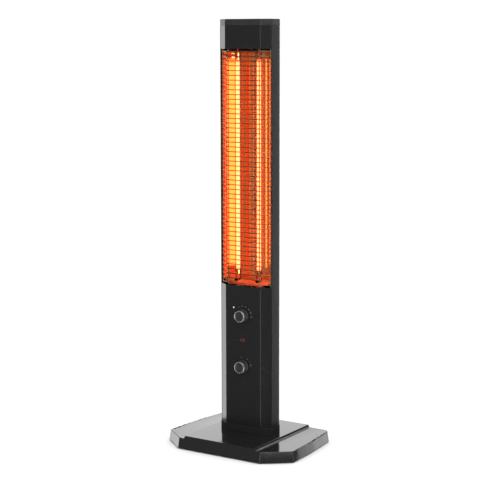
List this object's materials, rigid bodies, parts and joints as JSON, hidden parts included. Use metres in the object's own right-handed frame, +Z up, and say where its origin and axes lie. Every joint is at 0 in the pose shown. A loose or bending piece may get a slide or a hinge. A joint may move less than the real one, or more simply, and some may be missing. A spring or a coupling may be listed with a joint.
{
  "type": "outdoor heater",
  "caption": "Free-standing tower radiant heater: eight-sided black column with glowing tube lamps behind a wire guard, rotary controls and a low flat foot.",
  "frame": {"origin": "on the floor under the middle of the foot", "axes": "+Z up along the column, -Y towards the front with the lamps and controls, +X to the right of someone who looks at the front"},
  "size_m": [0.289, 0.206, 0.826],
  "materials": {
    "column_paint": "satin black powder coat",
    "panel_paint": "satin black powder coat",
    "cap_plastic": "satin black moulding",
    "plinth_plastic": "gloss black moulding",
    "base_plastic": "gloss black moulding",
    "dark_screw_steel": "blackened screws",
    "screw_steel": "zinc plated",
    "reflector_aluminium": "polished, stucco embossed",
    "quartz": "clear quartz",
    "glowing_carbon": "glowing carbon",
    "steatite": "unglazed white ceramic",
    "spring_steel": "spring steel",
    "zinc_steel": "zinc plated sheet",
    "phenolic": "black phenolic moulding",
    "guard_wire": "bright chromed wire",
    "nut_steel": "zinc plated",
    "shaft_steel": "turned steel",
    "knob_plastic": "satin black moulding",
    "knob_chrome": "chromed",
    "pilot_red": "red translucent lens",
    "terminal_plastic": "natural polyamide",
    "bush_rubber": "black rubber",
    "foot_rubber": "black rubber",
    "silicone_wire": "white silicone sleeving",
    "plunger_plastic": "natural acetal"
  },
  "bodies": {
    "heater": {"base_left_half": "base_plastic", "base_right_half": "base_plastic", "base_screws": "screw_steel", "base_tie_plate": "zinc_steel", "bracket_screws": "dark_screw_steel", "cap_screws": "dark_screw_steel", "carbon_filament_left": "glowing_carbon", "carbon_filament_right": "glowing_carbon", "ceramic_caps_lower": "steatite", "ceramic_caps_upper": "steatite", "column_bolts": "screw_steel", "column_housing": "column_paint", "column_plinth": "plinth_plastic", "control_leads": "silicone_wire", "control_panel": "panel_paint", "cord_bush": "bush_rubber", "guard_cross_wires": "guard_wire", "guard_upright_wires": "guard_wire", "heat_shield": "zinc_steel", "lamp_bracket_lower": "zinc_steel", "lamp_bracket_upper": "zinc_steel", "lamp_clips_lower": "spring_steel", "lamp_clips_upper": "spring_steel", "lamp_leads": "silicone_wire", "pilot_lamp_body": "phenolic", "pilot_lamp_lens": "pilot_red", "plinth_screws": "screw_steel", "quartz_tube_left": "quartz", "quartz_tube_right": "quartz", "reflector": "reflector_aluminium", "reflector_bottom_plate": "reflector_aluminium", "reflector_top_plate": "reflector_aluminium", "regulator_body": "phenolic", "regulator_nut": "nut_steel", "return_leads": "silicone_wire", "rubber_feet": "foot_rubber", "selector_body": "phenolic", "selector_nut": "nut_steel", "terminal_block": "terminal_plastic", "thermal_cutout": "phenolic", "tip_switch_body": "phenolic", "tip_switch_spring": "spring_steel", "top_cap": "cap_plastic", "top_front_panel": "panel_paint"},
    "regulator": {"regulator_shaft": "shaft_steel", "regulator_knob": "knob_plastic", "regulator_knob_ring": "knob_chrome"},
    "selector": {"selector_shaft": "shaft_steel", "selector_knob": "knob_plastic", "selector_knob_ring": "knob_chrome"},
    "tip_plunger": {"tip_switch_plunger": "plunger_plastic"}
  },
  "joints": [
    {"name": "regulator_turn", "type": "hinge", "parent": "heater", "child": "regulator", "pos_m": [0, -0.0157, 0.259], "axis": [0, 1, 0], "range_deg": [-149, 0]},
    {"name": "selector_turn", "type": "hinge", "parent": "heater", "child": "selector", "pos_m": [0, -0.0157, 0.1585], "axis": [0, 1, 0], "range_deg": [-86, 0]},
    {"name": "tip_plunger_slide", "type": "slide", "parent": "heater", "child": "tip_plunger", "axis": [0, 0, -1], "range_m": [0, 0.005], "stiffness_N_per_m": 150, "springref_m": 0.008}
  ]
}
